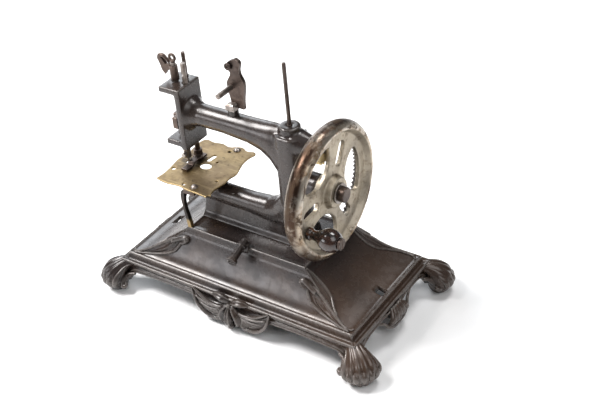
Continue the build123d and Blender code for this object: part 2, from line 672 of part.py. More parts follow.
def looper():
    """Hub and curved hook that catches the thread loop beside the needle."""
    hub = rod_x(4.4, -56.4, -51.0, 0, LOOPER_Z)
    hook = make_face(
        [
            ThreePointArc((-3.4, 66.4), (-6.0, 71.5), (-1.6, 75.6)),
            ThreePointArc((-1.6, 75.6), (1.4, 75.6), (4.2, 74.4)),
            ThreePointArc((4.2, 74.4), (-2.4, 72.4), (-0.4, 66.4)),
            Line((-0.4, 66.4), (-3.4, 66.4)),
        ]
    )
    arm = plate_yz(hook, -58.4, -56.4)
    return hub + arm + rod_x(4.4, -58.0, -56.4, 0, LOOPER_Z) - rod_x(LOOPER_SHAFT_R, -70, 0, 0, LOOPER_Z)


def looper_lever():
    """Short lever on the looper shaft, inside the column, with its pin."""
    lever = rod_x(4.0, 22.8, 25.9, 0, LOOPER_Z) + rod_x(2.4, 22.8, 25.9, LOOPER_LEVER, LOOPER_Z)
    lever += box((22.8, 25.9), (0, LOOPER_LEVER), (LOOPER_Z - 2.4, LOOPER_Z + 2.4))
    lever -= rod_x(LOOPER_SHAFT_R, 10, 40, 0, LOOPER_Z)
    return lever + rod_x(1.2, 25.9, 29.0, LOOPER_LEVER, LOOPER_Z)


def looper_rod():
    """Rod from the looper lever up to a fork round the main shaft, beside the crank disc."""
    x0, x1 = 26.35, 28.35
    fork_r, gap = 5.4, SHAFT_R + 0.9
    fork_low = SHAFT_Z - LOOPER_THROW - SHAFT_R - 0.5
    fork = box((x0, x1), (-fork_r, fork_r), (fork_low - 2.4, SHAFT_Z + 1.8))
    fork -= box((x0 - 1, x1 + 1), (-gap, gap), (fork_low, SHAFT_Z + 9))
    low_eye = rod_x(3.0, x0, x1, LOOPER_LEVER, LOOPER_Z)
    low, high = (LOOPER_LEVER, LOOPER_Z + 2.4), (1.2, fork_low - 2.0)
    shank = make_face(
        Polyline((low[0] - 1.5, low[1] - 1), (low[0] + 1.5, low[1] - 1), (high[0] + 1.5, high[1]),
                 (high[0] - 1.5, high[1]), close=True)
    )
    rod = fork + low_eye + plate_yz(shank, x0, x1)
    return rod - rod_x(1.2 + RUNNING, 20, 40, LOOPER_LEVER, LOOPER_Z)


save("base_plate", base_plate())
save("frame_bolts", group(*[frame_bolt(x) for x in FRAME_BOLTS]))
save("front_screw", front_screw())
save("machine_frame", machine_frame())
save("head_bush", shaft_bush(-53.6, -44.0))
save("wheel_bush", shaft_bush(30.0, 41.0))
save("spool_pin", spool_pin())
save("cloth_plate", cloth_plate())
save("cloth_plate_screws", group(*[cloth_plate_screw(x, y) for x, y in PLATE_SCREWS]))
save("plate_bracket", plate_bracket())
save("plate_leg", plate_leg())
save("tension_post", tension_post())
save("tension_block", tension_block())
save("tension_leaf", tension_leaf())
save("tension_stud", tension_stud())
save("thread_eye", thread_eye())
save("guide_post", guide_post())
save("main_shaft", main_shaft())
save("pinion", pinion())
save("pinion_pin", pinion_pin())
save("needle_crank", needle_crank())
save("needle_crank_pin", needle_crank_pin())
save("looper_cam", looper_cam())
save("looper_cam_pin", looper_cam_pin())
save("needle_bar", needle_bar())
save("needle", needle())
save("needle_screw", needle_screw())
save("needle_yoke", needle_yoke())
save("needle_collar", needle_collar())
save("take_up_hook", take_up())
save("thread_flag", thread_flag())
save("presser_bar", presser_bar())
save("presser_collar", presser_collar())
save("presser_spring", presser_spring())
save("presser_foot", presser_foot())
save("handwheel", handwheel())
save("ring_gear", ring_gear())
save("wheel_stud", wheel_stud())
save("hub_washer", hub_washer())
save("hub_bolt", hub_bolt())
save("crank_knob", crank_knob())
save("knob_screw", knob_screw())
save("looper_shaft", looper_shaft())
save("looper", looper())
save("looper_lever", looper_lever())
save("looper_rod", looper_rod())
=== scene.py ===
"""Looks of the toy hand-crank sewing machine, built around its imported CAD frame.

Lengths in this script are millimetres in the part's frame unless a name says otherwise;
they are scaled to metres when a mesh is made. +X runs to the handwheel, -Y to the operator.
"""
import json
import math

import bmesh
import bpy
import numpy as np
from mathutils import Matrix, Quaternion, Vector


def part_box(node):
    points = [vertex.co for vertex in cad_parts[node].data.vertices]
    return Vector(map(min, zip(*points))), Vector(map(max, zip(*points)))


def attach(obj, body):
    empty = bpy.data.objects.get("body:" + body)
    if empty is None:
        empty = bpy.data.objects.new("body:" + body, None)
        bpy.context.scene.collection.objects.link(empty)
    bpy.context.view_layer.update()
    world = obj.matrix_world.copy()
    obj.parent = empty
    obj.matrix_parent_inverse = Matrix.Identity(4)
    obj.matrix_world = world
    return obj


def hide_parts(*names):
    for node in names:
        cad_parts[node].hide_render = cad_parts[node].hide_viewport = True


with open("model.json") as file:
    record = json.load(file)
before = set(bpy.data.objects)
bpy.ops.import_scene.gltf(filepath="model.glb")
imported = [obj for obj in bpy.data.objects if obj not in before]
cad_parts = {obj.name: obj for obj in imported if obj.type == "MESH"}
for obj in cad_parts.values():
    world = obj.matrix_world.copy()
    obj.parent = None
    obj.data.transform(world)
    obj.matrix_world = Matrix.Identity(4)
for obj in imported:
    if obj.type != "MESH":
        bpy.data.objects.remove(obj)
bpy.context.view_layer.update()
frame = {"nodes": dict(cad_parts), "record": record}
CAD = frame["nodes"]
BODY_OF = {n: b for b, ns in frame["record"]["behaviour"]["bodies"].items() for n in ns}
SLOT_OF = {s["node"]: s["material_slot"] for s in frame["record"]["subparts"]}
MM = 0.001
PI = math.pi

# ---------------------------------------------------------------- sizes, from the CAD
RIM_X, RIM_Y = 92.0, 47.7
COVE_X, COVE_Y, COVE_Z = 86.25, 41.95, 26.25     # foot of the hollow-curved sides
TOP_X, TOP_Y, TOP_Z = 45.0, 26.0, 49.7           # edge of the platform
COVE_POWER = 1.6
CLAMP_HOLES = ((82.3, 3.2, 3.1), (-78.8, 2.7, 4.5))      # centre in X, half length, half width
CLAMP_CUT_Z = (15, 40)                           # past both faces of the rim
HEAD_X = -50.3                                   # right face of the head plate, where the arm joins it
ARM_Z = 121.55                                   # middle of the upper arm
SPOOL_X = 24.6
NEEDLE_X = -60.5
wheel_low, wheel_high = (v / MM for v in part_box("handwheel"))
WHEEL_X = (wheel_low.x + wheel_high.x) / 2
WHEEL_Z = (wheel_low.z + wheel_high.z) / 2

# ---------------------------------------------------------------- where the finish changes, and where a reflection is painted
WEB_TO_RIM_R = (38.8, 39.6)          # the wheel's flat web ends and its bright rim begins
TREAD_R = (39.8, 41.8)               # the worn outside of the rim, by radius
TREAD_X = (2.8, 5.6)                 # and by distance from the rim's middle plane
REFLECTION_BROWN_X = (35.0, 75.0)             # painted reflection: the base turns browner towards the wheel, where its end slope reflects a dark brown room
STAIN_X, STAIN_Y, STAIN_R = -58.5, 2.0, (4.0, 14.0)


# ---------------------------------------------------------------- materials
COLOUR_A, COLOUR_B, COLOUR_RESULT = 6, 7, 2      # sockets of a Mix node that mixes colours


class Shader:
    """A Principled material with a few short ways to add nodes. Coordinates in it are metres."""

    def __init__(self, name):
        self.material = bpy.data.materials.new(name)
        self.material.use_nodes = True
        self.tree = self.material.node_tree
        self.bsdf = self.tree.nodes["Principled BSDF"]
        coords = self.tree.nodes.new("ShaderNodeTexCoord")
        self.coords = coords.outputs["Object"]

    def link(self, a, b):
        self.tree.links.new(a, b)

    def set(self, node, key, value):
        if isinstance(value, bpy.types.NodeSocket):
            self.link(value, node.inputs[key])
        else:
            node.inputs[key].default_value = value

    def noise(self, scale, detail=4.0, rough=0.55, stretch=None, distortion=0.0):
        node = self.tree.nodes.new("ShaderNodeTexNoise")
        node.inputs["Scale"].default_value = scale
        node.inputs["Detail"].default_value = detail
        node.inputs["Roughness"].default_value = rough
        node.inputs["Distortion"].default_value = distortion
        source = self.coords
        if stretch:
            mapping = self.tree.nodes.new("ShaderNodeMapping")
            mapping.inputs["Scale"].default_value = stretch
            self.link(self.coords, mapping.inputs["Vector"])
            source = mapping.outputs["Vector"]
        self.link(source, node.inputs["Vector"])
        return node.outputs["Fac"]

    def band(self, value, low, high, to_low=0.0, to_high=1.0):
        """Smooth step of the value from low to high."""
        node = self.tree.nodes.new("ShaderNodeMapRange")
        node.interpolation_type = "SMOOTHSTEP"
        self.set(node, "Value", value)
        for key, number in (("From Min", low), ("From Max", high), ("To Min", to_low), ("To Max", to_high)):
            self.set(node, key, number)
        return node.outputs["Result"]

    def math(self, kind, a, b=0.0):
        node = self.tree.nodes.new("ShaderNodeMath")
        node.operation = kind
        self.set(node, 0, a)
        self.set(node, 1, b)
        return node.outputs[0]

    def plus(self, a, b):
        return self.math("ADD", a, b)

    def minus(self, a, b):
        return self.math("SUBTRACT", a, b)

    def times(self, a, b):
        return self.math("MULTIPLY", a, b)

    def distance(self, a, b):
        """Length of a line that runs a one way and b across it."""
        return self.math("POWER", self.plus(self.times(a, a), self.times(b, b)), 0.5)

    def mix(self, factor, a, b):
        """Colour a where the factor is 0, and b where it is 1."""
        node = self.tree.nodes.new("ShaderNodeMix")
        node.data_type = "RGBA"
        self.set(node, "Factor", factor)
        for key, value in ((COLOUR_A, a), (COLOUR_B, b)):
            self.set(node, key, value if isinstance(value, bpy.types.NodeSocket) else (*value, 1.0))
        return node.outputs[COLOUR_RESULT]

    def axis(self, name):
        node = self.tree.nodes.new("ShaderNodeSeparateXYZ")
        self.link(self.coords, node.inputs[0])
        return node.outputs[name]

    def pointiness(self):
        return self.tree.nodes.new("ShaderNodeNewGeometry").outputs["Pointiness"]

    def bump(self, height, depth):
        """Relief from a height between 0 and 1, with its depth in mm."""
        node = self.tree.nodes.new("ShaderNodeBump")
        node.inputs["Distance"].default_value = depth * MM
        self.link(height, node.inputs["Height"])
        self.link(node.outputs["Normal"], self.bsdf.inputs["Normal"])

    def finish(self, colour, roughness, metallic, **extra):
        self.link(colour, self.bsdf.inputs["Base Color"])
        self.link(roughness, self.bsdf.inputs["Roughness"])
        self.bsdf.inputs["Metallic"].default_value = metallic
        for key, value in extra.items():
            self.bsdf.inputs[key.replace("_", " ")].default_value = value
        return self.material


def old_metal(name, tones, pit_tone, worn_tone, rough, metallic, pits=(0.60, 0.68), brown=None, depth=0.12,
              specular=0.5):
    """Aged metal: cloudy patina, small pits, bright worn edges and a fine cast grain."""
    grain = 900.0
    s = Shader(name)
    cloud = s.noise(26.0, 4.0, 0.6)
    mottle = s.noise(150.0, 7.0, 0.65)
    fine = s.noise(grain, 6.0, 0.7)
    colour = s.mix(s.band(cloud, 0.36, 0.64), tones[0], tones[1])
    colour = s.mix(s.times(s.band(mottle, 0.45, 0.72), 0.8), colour, tones[2])
    # painted reflection: brown laid on the base's end towards the wheel stands in for the dark brown room
    # that slope reflects; the cloudy part of the mask adds random brown tone elsewhere
    if brown:
        reflection_towards_wheel = s.band(s.axis("X"), *(x * MM for x in REFLECTION_BROWN_X))
        side = s.plus(reflection_towards_wheel, s.times(s.band(cloud, 0.4, 0.7), 0.5))
        colour = s.mix(s.times(side, 0.6), colour, brown)
    pit = s.band(s.noise(grain * 0.5, 8.0, 0.75), pits[0], pits[1])
    colour = s.mix(pit, colour, pit_tone)
    edge = s.times(s.band(s.pointiness(), 0.515, 0.56), s.band(mottle, 0.3, 0.6, 0.35, 1.0))
    colour = s.mix(edge, colour, worn_tone)
    spread = s.band(mottle, 0.3, 0.7, rough[0], rough[1])
    roughness = s.plus(spread, s.times(pit, 0.2))
    height = s.plus(s.times(fine, 0.5), s.times(mottle, 0.8))
    s.bump(s.minus(height, s.times(pit, 0.7)), depth)
    return s.finish(colour, roughness, metallic, Specular_IOR_Level=specular)


def wheel_nickel():
    """Worn nickel plate on iron: bright and pitted on the rim, tan and duller on the web."""
    tan, drab, dirt = (0.46, 0.40, 0.31), (0.34, 0.30, 0.245), (0.155, 0.115, 0.08)
    bright, yellowed, stained = (0.56, 0.51, 0.44), (0.45, 0.37, 0.28), (0.27, 0.18, 0.105)
    worn_tread, bare_iron = (0.050, 0.029, 0.019), (0.075, 0.048, 0.03)
    speck, rubbed = (0.06, 0.04, 0.03), (0.62, 0.56, 0.48)
    s = Shader("nickel_plate")
    radius = s.distance(s.axis("Y"), s.minus(s.axis("Z"), WHEEL_Z * MM))
    rim = s.band(radius, *(r * MM for r in WEB_TO_RIM_R))
    cloud = s.noise(34.0, 4.0, 0.6)
    mottle = s.noise(190.0, 8.0, 0.7)
    streak = s.noise(75.0, 7.0, 0.7, stretch=(2.6, 1.0, 1.0), distortion=0.4)
    fine = s.noise(1100.0, 5.0, 0.7)
    web = s.mix(s.band(cloud, 0.35, 0.65), tan, drab)
    web = s.mix(s.band(mottle, 0.5, 0.72), web, dirt)
    plate = s.mix(s.band(cloud, 0.3, 0.7), bright, yellowed)
    plate = s.mix(s.band(mottle, 0.46, 0.66), plate, stained)
    colour = s.mix(rim, web, plate)
    # the outside of the rim is worn to brown by the hand
    across = s.math("ABSOLUTE", s.minus(s.axis("X"), WHEEL_X * MM))
    middle = s.band(across, *(x * MM for x in TREAD_X), 1.0, 0.0)
    tread = s.times(middle, s.band(radius, *(r * MM for r in TREAD_R)))
    tread = s.times(tread, s.band(s.noise(60.0, 6.0, 0.7), 0.36, 0.52, 0.45, 1.0))
    colour = s.mix(tread, colour, worn_tread)
    flaked = s.times(s.band(streak, 0.5, 0.6), s.band(rim, 0.0, 1.0, 0.18, 0.92))
    colour = s.mix(flaked, colour, bare_iron)
    specks = s.band(s.noise(520.0, 8.0, 0.75), 0.58, 0.66)
    colour = s.mix(s.times(specks, 0.75), colour, speck)
    edge = s.band(s.pointiness(), 0.52, 0.57)
    colour = s.mix(s.times(edge, 0.7), colour, rubbed)
    rough = s.plus(s.band(rim, 0.0, 1.0, 0.42, 0.24), s.times(flaked, 0.3))
    rough = s.plus(rough, s.times(mottle, 0.12))
    height = s.plus(s.times(mottle, 0.6), s.times(fine, 0.25))
    height = s.minus(height, s.times(s.plus(flaked, specks), 0.5))
    s.bump(height, 0.16)
    return s.finish(colour, rough, 0.9)


def plate_brass():
    """Old brass sheet: gold-tan with brown stains, dark spots and fine scratches."""
    gold, tan, brown = (0.235, 0.165, 0.075), (0.165, 0.112, 0.055), (0.075, 0.048, 0.024)
    spot, oil = (0.06, 0.045, 0.03), (0.030, 0.022, 0.016)
    scratched, rubbed = (0.36, 0.27, 0.14), (0.44, 0.33, 0.165)
    s = Shader("brass_sheet")
    cloud = s.noise(45.0, 5.0, 0.6)
    mottle = s.noise(240.0, 8.0, 0.7)
    scratch = s.noise(420.0, 3.0, 0.5, stretch=(0.12, 1.6, 1.0))
    spots = s.band(s.noise(330.0, 7.0, 0.7), 0.60, 0.67)
    colour = s.mix(s.band(cloud, 0.35, 0.65), gold, tan)
    colour = s.mix(s.times(s.band(mottle, 0.48, 0.72), 0.7), colour, brown)
    colour = s.mix(spots, colour, spot)
    # a stain round the needle
    reach = s.distance(s.minus(s.axis("X"), STAIN_X * MM), s.minus(s.axis("Y"), STAIN_Y * MM))
    stain = s.band(reach, *(r * MM for r in STAIN_R), 1.0, 0.0)
    stain = s.times(stain, s.band(s.noise(150.0, 6.0, 0.65), 0.36, 0.55))
    colour = s.mix(s.times(stain, 0.85), colour, oil)
    colour = s.mix(s.times(s.band(scratch, 0.58, 0.66), 0.35), colour, scratched)
    colour = s.mix(s.times(s.band(s.pointiness(), 0.515, 0.55), 0.8), colour, rubbed)
    rough = s.plus(s.band(mottle, 0.3, 0.7, 0.34, 0.5), s.times(spots, 0.2))
    s.bump(s.minus(s.times(mottle, 0.5), s.times(scratch, 0.3)), 0.1)
    return s.finish(colour, rough, 0.85)


def turned_knob():
    """Dark polished turned wood, amber where the polish is worn thin at the neck."""
    black, umber, amber = (0.010, 0.006, 0.005), (0.024, 0.012, 0.009), (0.14, 0.05, 0.018)
    s = Shader("dark_turned_wood")
    grain = s.noise(70.0, 6.0, 0.6, stretch=(0.35, 2.2, 2.2), distortion=0.8)
    fine = s.noise(700.0, 5.0, 0.6, stretch=(0.3, 1.5, 1.5))
    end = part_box("crank_knob")[0].x
    neck = s.band(s.axis("X"), end + 2.0 * MM, end + 11.0 * MM, 1.0, 0.0)
    colour = s.mix(s.band(grain, 0.4, 0.62), black, umber)
    worn = s.times(s.plus(neck, 0.15), s.band(grain, 0.45, 0.66))
    colour = s.mix(s.times(worn, 0.55), colour, amber)
    s.bump(fine, 0.04)
    return s.finish(colour, s.band(fine, 0.3, 0.7, 0.17, 0.3), 0.0, Coat_Weight=0.5, Coat_Roughness=0.12)


def leg_metal():
    """Browned strap whose brass shows through at its lower end."""
    dark, brown, brass = (0.030, 0.025, 0.023), (0.055, 0.042, 0.036), (0.30, 0.215, 0.105)
    s = Shader("browned_brass_strap")
    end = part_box("plate_leg")[0].z
    mottle = s.noise(220.0, 6.0, 0.65)
    low_end = s.band(s.axis("Z"), end + 1.0 * MM, end + 11.0 * MM, 1.0, 0.0)
    worn = s.plus(low_end, s.times(mottle, 0.35))
    colour = s.mix(s.band(mottle, 0.4, 0.65), dark, brown)
    colour = s.mix(s.band(worn, 0.45, 0.85), colour, brass)
    s.bump(mottle, 0.1)
    return s.finish(colour, s.band(mottle, 0.3, 0.7, 0.3, 0.46), 0.8)


IRON = dict(
    tones=((0.022, 0.0165, 0.0155), (0.036, 0.025, 0.0205), (0.012, 0.009, 0.008)),
    pit_tone=(0.008, 0.0065, 0.006),
    worn_tone=(0.12, 0.105, 0.095),
    rough=(0.22, 0.33),
    metallic=0.15,
    pits=(0.70, 0.76),
    depth=0.06,
    specular=0.55,
)
STEEL = dict(
    tones=((0.30, 0.27, 0.25), (0.21, 0.18, 0.16), (0.12, 0.085, 0.065)),
    pit_tone=(0.05, 0.035, 0.03),
    worn_tone=(0.55, 0.51, 0.47),
    rough=(0.3, 0.48),
    metallic=0.9,
    pits=(0.58, 0.68),
)
DARK_STEEL = dict(
    tones=((0.066, 0.050, 0.043), (0.095, 0.068, 0.055), (0.034, 0.023, 0.019)),
    pit_tone=(0.02, 0.013, 0.011),
    worn_tone=(0.27, 0.22, 0.195),
    rough=(0.3, 0.46),
    metallic=0.85,
)
BRASS = dict(
    tones=((0.36, 0.27, 0.13), (0.25, 0.18, 0.09), (0.14, 0.095, 0.05)),
    pit_tone=(0.05, 0.035, 0.02),
    worn_tone=(0.60, 0.48, 0.26),
    rough=(0.32, 0.5),
    metallic=0.9,
)
MATERIALS = {
    # the brown given here is a painted reflection on the base's wheel end, mixed with random cloudy brown
    # tone
    "iron_base": old_metal("iron_base", brown=(0.060, 0.036, 0.024), **IRON),
    "iron_frame": old_metal("iron_frame", **IRON),
    "nickel": wheel_nickel(),
    "steel": old_metal("old_steel", **STEEL),
    "dark_steel": old_metal("browned_steel", **DARK_STEEL),
    "brass": old_metal("old_brass", **BRASS),
    "brass_plate": plate_brass(),
    "horn": turned_knob(),
}
FINISH = {       # nodes that don't take their slot's material
    "plate_leg": leg_metal(),
    "knob_screw": MATERIALS["dark_steel"],
    "presser_foot": MATERIALS["dark_steel"],
    "front_screw": MATERIALS["iron_base"],
}


# ---------------------------------------------------------------- mesh helpers
def spline(points, steps):
    """Smooth curve through points or numbers, as rows."""
    p = np.array(points, float)
    if p.ndim == 1:
        p = p[:, None]
    ends = np.vstack([2 * p[0] - p[1], p, 2 * p[-1] - p[-2]])
    rows = []
    for v in np.linspace(0, len(p) - 1, steps):
        i = min(int(v), len(p) - 2)
        f = v - i
        a, b, c, d = ends[i:i + 4]
        square, cube = 2 * a - 5 * b + 4 * c - d, 3 * b - a - 3 * c + d
        rows.append(0.5 * (2 * b + (c - a) * f + square * f**2 + cube * f**3))
    return np.array(rows)


def unit(v):
    return v / max(np.linalg.norm(v), 1e-9)


def ring_faces(rings, count):
    """Quads between closed rings of equal count, with both ends capped."""
    faces = []
    for i in range(rings - 1):
        for k in range(count):
            a, b = i * count + k, i * count + (k + 1) % count
            faces.append((a, b, b + count, a + count))
    faces.append(tuple(reversed(range(count))))
    faces.append(tuple(range((rings - 1) * count, rings * count)))
    return faces


def sweep(path, out, width, height, ribs=0, rib=0.0, sides=20, steps=26, under=0.5):
    """Closed body along a path: oval sections, raised towards `out`, with ribs along that side."""
    centre = spline(path, steps)
    wide = spline(width, steps)[:, 0]
    tall = spline(height, steps)[:, 0]
    outs = spline(out, steps) if np.ndim(out) == 2 else np.tile(np.array(out, float), (steps, 1))
    along = np.gradient(centre, axis=0)
    verts = []
    for i in range(steps):
        t = unit(along[i])
        side = unit(np.cross(t, outs[i]))
        up = np.cross(side, t)
        for k in range(sides):
            a = 2 * PI * k / sides
            lift = tall[i] * math.sin(a)
            if math.sin(a) > 0:
                lift *= 1 + rib * math.cos(2 * ribs * a)
            else:
                lift *= under
            verts.append(centre[i] + side * (wide[i] / 2 * math.cos(a)) + up * lift)
    return verts, ring_faces(steps, sides)


def cord(path, radius, out=(0, 0, 1), sides=12, steps=30):
    """A round bead along a path."""
    radii = radius if isinstance(radius, (list, tuple)) else [radius] * 2
    return sweep(path, out, [2 * r for r in radii], radii, sides=sides, steps=steps, under=1.0)


def turned(profile, centre, axis="X", sides=48):
    """Closed body of revolution about X or Z, from (distance along the axis, radius) pairs."""
    verts = []
    for along, r in profile:
        for k in range(sides):
            a = 2 * PI * k / sides
            y, z = r * math.cos(a), r * math.sin(a)
            verts.append(np.array(centre, float) + ((y, z, along) if axis == "Z" else (along, y, z)))
    return verts, ring_faces(len(profile), sides)


def ball(centre, r, squash=1.0):
    end = PI / 2 - 0.06
    rows = [(r * squash * math.sin(a), r * math.cos(a)) for a in np.linspace(-end, end, 11)]
    return turned(rows, centre, "Z", 18)


def mirrored(part, sx, sy):
    verts, faces = part
    moved = [(v[0] * sx, v[1] * sy, v[2]) for v in verts]
    if sx * sy < 0:
        faces = [tuple(reversed(f)) for f in faces]
    return moved, faces


def new_object(name, parts):
    """One mesh object from (points in mm, faces) parts, its normals facing out."""
    verts, faces = [], []
    for v, f in parts:
        faces += [tuple(i + len(verts) for i in face) for face in f]
        verts += [tuple(float(c) * MM for c in p) for p in v]
    mesh = bpy.data.meshes.new(name)
    mesh.from_pydata(verts, [], faces)
    mesh.validate()
    bm = bmesh.new()
    bm.from_mesh(mesh)
    bmesh.ops.recalc_face_normals(bm, faces=bm.faces)
    bm.to_mesh(mesh)
    bm.free()
    obj = bpy.data.objects.new(name, mesh)
    bpy.context.scene.collection.objects.link(obj)
    return obj


def bake_modifiers(obj):
    """Turns the object's modifiers into its mesh."""
    bpy.context.view_layer.update()
    seen = obj.evaluated_get(bpy.context.evaluated_depsgraph_get())
    mesh = bpy.data.meshes.new_from_object(seen)
    obj.modifiers.clear()
    obj.data = mesh


def settle(obj, body, slot, stands_for=()):
    """Smooth shading, the material of its slot, and the body of a finished piece."""
    obj.data.polygons.foreach_set("use_smooth", [True] * len(obj.data.polygons))
    obj.data.materials.clear()
    obj.data.materials.append(MATERIALS[slot])
    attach(obj, body)
    if stands_for:
        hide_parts(*stands_for)
    return obj


def cast(node, voxel, rounds, parts=(), name=None):
    """The node's own shape with softly rounded edges, fused with any added parts; the voxel is in mm."""
    obj = new_object(name or node + "_finished", parts) if parts else None
    mesh = CAD[node].data.copy()
    if obj:
        bm = bmesh.new()
        bm.from_mesh(obj.data)
        bm.from_mesh(mesh)
        bm.to_mesh(obj.data)
        bm.free()
    else:
        obj = bpy.data.objects.new(name or node + "_finished", mesh)
        bpy.context.scene.collection.objects.link(obj)
    remesh = obj.modifiers.new("Remesh", "REMESH")
    remesh.mode = "VOXEL"
    remesh.voxel_size = voxel * MM
    smooth = obj.modifiers.new("Smooth", "SMOOTH")
    smooth.factor = 0.5
    smooth.iterations = rounds
    bake_modifiers(obj)
    settle(obj, BODY_OF[node], SLOT_OF[node], (node,))
    if node in FINISH:
        obj.data.materials[0] = FINISH[node]


def cut(obj, low, high):
    """Takes a box out of a piece."""
    corners = [(x, y, z) for x in (low[0], high[0]) for y in (low[1], high[1]) for z in (low[2], high[2])]
    sides = [(0, 1, 3, 2), (4, 6, 7, 5), (0, 4, 5, 1), (2, 3, 7, 6), (0, 2, 6, 4), (1, 5, 7, 3)]
    tool = new_object("cutter", [(corners, sides)])
    mod = obj.modifiers.new("Cut", "BOOLEAN")
    mod.operation = "DIFFERENCE"
    mod.solver = "EXACT"
    mod.object = tool
    bake_modifiers(obj)
    bpy.data.objects.remove(tool)


# ---------------------------------------------------------------- base casting
LONG_APRON_Z, END_APRON_Z = 14.0, 17.3           # lower edges; the end one is 3.3 higher than the CAD's
SWAG_HALF, SCALLOP_HALF = 27.0, 12.5             # half length of the dip behind each centre ornament
FOOT_FROM_X, FOOT_FROM_Y = 78.0, 27.0            # the edge falls towards the feet from here on


def apron_edge(sx, sy):
    """Height of the apron's lower edge at a point of the rim, from its -1..1 position."""
    if abs(sy) >= 1:
        x = abs(sx) * RIM_X
        z = LONG_APRON_Z + 0.9 * math.sin(min(max((x - SWAG_HALF) / 50, 0), 1) * PI)
        if x < SWAG_HALF:
            z -= 4.6 * (0.5 + 0.5 * math.cos(PI * x / SWAG_HALF)) ** 0.8
        if x > FOOT_FROM_X:
            z -= 11.5 * ((x - FOOT_FROM_X) / (RIM_X - FOOT_FROM_X)) ** 1.8
    else:
        y = abs(sy) * RIM_Y
        z = END_APRON_Z
        if y < SCALLOP_HALF:
            z -= 8.9 * (0.5 + 0.5 * math.cos(PI * y / SCALLOP_HALF))
        if y > FOOT_FROM_Y:
            z -= 14.5 * ((y - FOOT_FROM_Y) / (RIM_Y - FOOT_FROM_Y)) ** 2.2
    return z


# Section of the outside, from the apron's lower edge up: (inset from the rim, height above that edge),
# then (inset, share of the way up to FACE_TOP_Z), and for the rim (inset, height)
EDGE_BEADS = ((1.9, 0.3), (0.8, -0.1), (0.0, 0.35), (-0.15, 1.0), (0.25, 1.5), (0.6, 1.75), (0.3, 2.05),
              (0.05, 2.6), (0.25, 3.15), (0.95, 3.6))
APRON_FACE = ((1.45, 0.3), (1.6, 0.55), (1.35, 0.8))
FACE_TOP_Z = 19.0
RIM_SECTION = ((0.75, 19.6), (0.15, 20.3), (-0.05, 21.2), (0.05, 22.0), (0.45, 22.5), (1.0, 22.5),
               (1.5, 22.1), (2.1, 21.9), (3.2, 21.9), (3.8, 22.3), (4.05, 23.2), (4.1, 24.8), (4.3, 26.1),
               (4.6, 26.65), (4.85, 26.6), (5.0, 26.3), (5.15, 26.3), (5.3, 26.6), (5.5, 26.6), (5.7, 26.3))
# Section of the platform's top: (out from its edge, height)
TOP_SECTION = ((0.25, 49.35), (0.18, 49.85), (-0.1, 50.1), (-0.6, 50.1), (-0.95, 49.85), (-1.2, 49.62),
               (-5.0, 49.6), (-12.0, 49.6), (-18.0, 49.6), (-24.0, 49.6))


def cove_level(u, drop=0.0, shift=0.0):
    """(half x, half y, height) of the hollow side at u, 0 at the rim and 1 at the platform."""
    z = COVE_Z + (TOP_Z - COVE_Z) * u**COVE_POWER - drop
    return (COVE_X - u * (COVE_X - TOP_X) - shift, COVE_Y - u * (COVE_Y - TOP_Y) - shift, z)


def base_levels(edge):
    """All rings of the base shell for one place on the rim, from under the platform round to its top."""
    under = [(20.0, 1.0, 46.7), (30.0, 10.0, 46.7), (TOP_X - 2.5, TOP_Y - 2.5, 46.6)]
    under += [cove_level(u, 2.6, 1.6) for u in (0.85, 0.7, 0.55, 0.4, 0.25, 0.12)]
    under += [(RIM_X - c, RIM_Y - c, z) for c, z in ((7.6, 22.6), (4.6, 19.8), (3.4, 17.5))]
    under += [(RIM_X - 3.1, RIM_Y - 3.1, edge + 0.6)]
    outside = [(RIM_X - c, RIM_Y - c, edge + dz) for c, dz in EDGE_BEADS]
    start = edge + EDGE_BEADS[-1][1]
    outside += [(RIM_X - c, RIM_Y - c, start + f * (FACE_TOP_Z - start)) for c, f in APRON_FACE]
    outside += [(RIM_X - c, RIM_Y - c, z) for c, z in RIM_SECTION]
    outside += [cove_level(i / 18) for i in range(1, 16)]
    outside += [cove_level(0.865), cove_level(0.885, 0.1), cove_level(0.9, 0.42), cove_level(0.915, 0.42)]
    outside += [cove_level(0.93, 0.1), cove_level(0.945), cove_level(0.97)]
    outside += [(TOP_X + c, TOP_Y + c, z) for c, z in TOP_SECTION]
    return under + outside


def base_shell():
    n_long, n_short = 184, 96
    places = [(-1 + 2 * i / n_long, -1.0) for i in range(n_long)]
    places += [(1.0, -1 + 2 * i / n_short) for i in range(n_short)]
    places += [(1 - 2 * i / n_long, 1.0) for i in range(n_long)]
    places += [(-1.0, 1 - 2 * i / n_short) for i in range(n_short)]
    columns = [base_levels(apron_edge(sx, sy)) for sx, sy in places]
    verts = []
    for level in range(len(columns[0])):
        for (sx, sy), column in zip(places, columns):
            hx, hy, z = column[level]
            verts.append((sx * hx, sy * hy, z))
    return verts, ring_faces(len(columns[0]), len(places))


def on_hip(u, s):
    """Point and normal of the curved side near a hip, +X +Y corner; s > 0 on the long slope."""
    hx, hy, z = cove_level(u)
    steep = (TOP_Z - COVE_Z) * COVE_POWER * max(u, 0.02) ** (COVE_POWER - 1)
    long_n = unit(np.array((0, steep / (COVE_Y - TOP_Y), 1.0)))
    end_n = unit(np.array((steep / (COVE_X - TOP_X), 0, 1.0)))
    f = min(max((s + 2.0) / 4.0, 0.0), 1.0)      # the normal turns over 2 mm on each side of the hip
    point = np.array((hx - max(s, 0), hy + min(s, 0), z))
    return point, unit(long_n * f + end_n * (1 - f))


def hip_path(pairs, lift=0.2):
    rows = []
    for u, s in spline(pairs, 40):
        p, n = on_hip(u, s)
        rows.append(p + n * lift)
    return rows


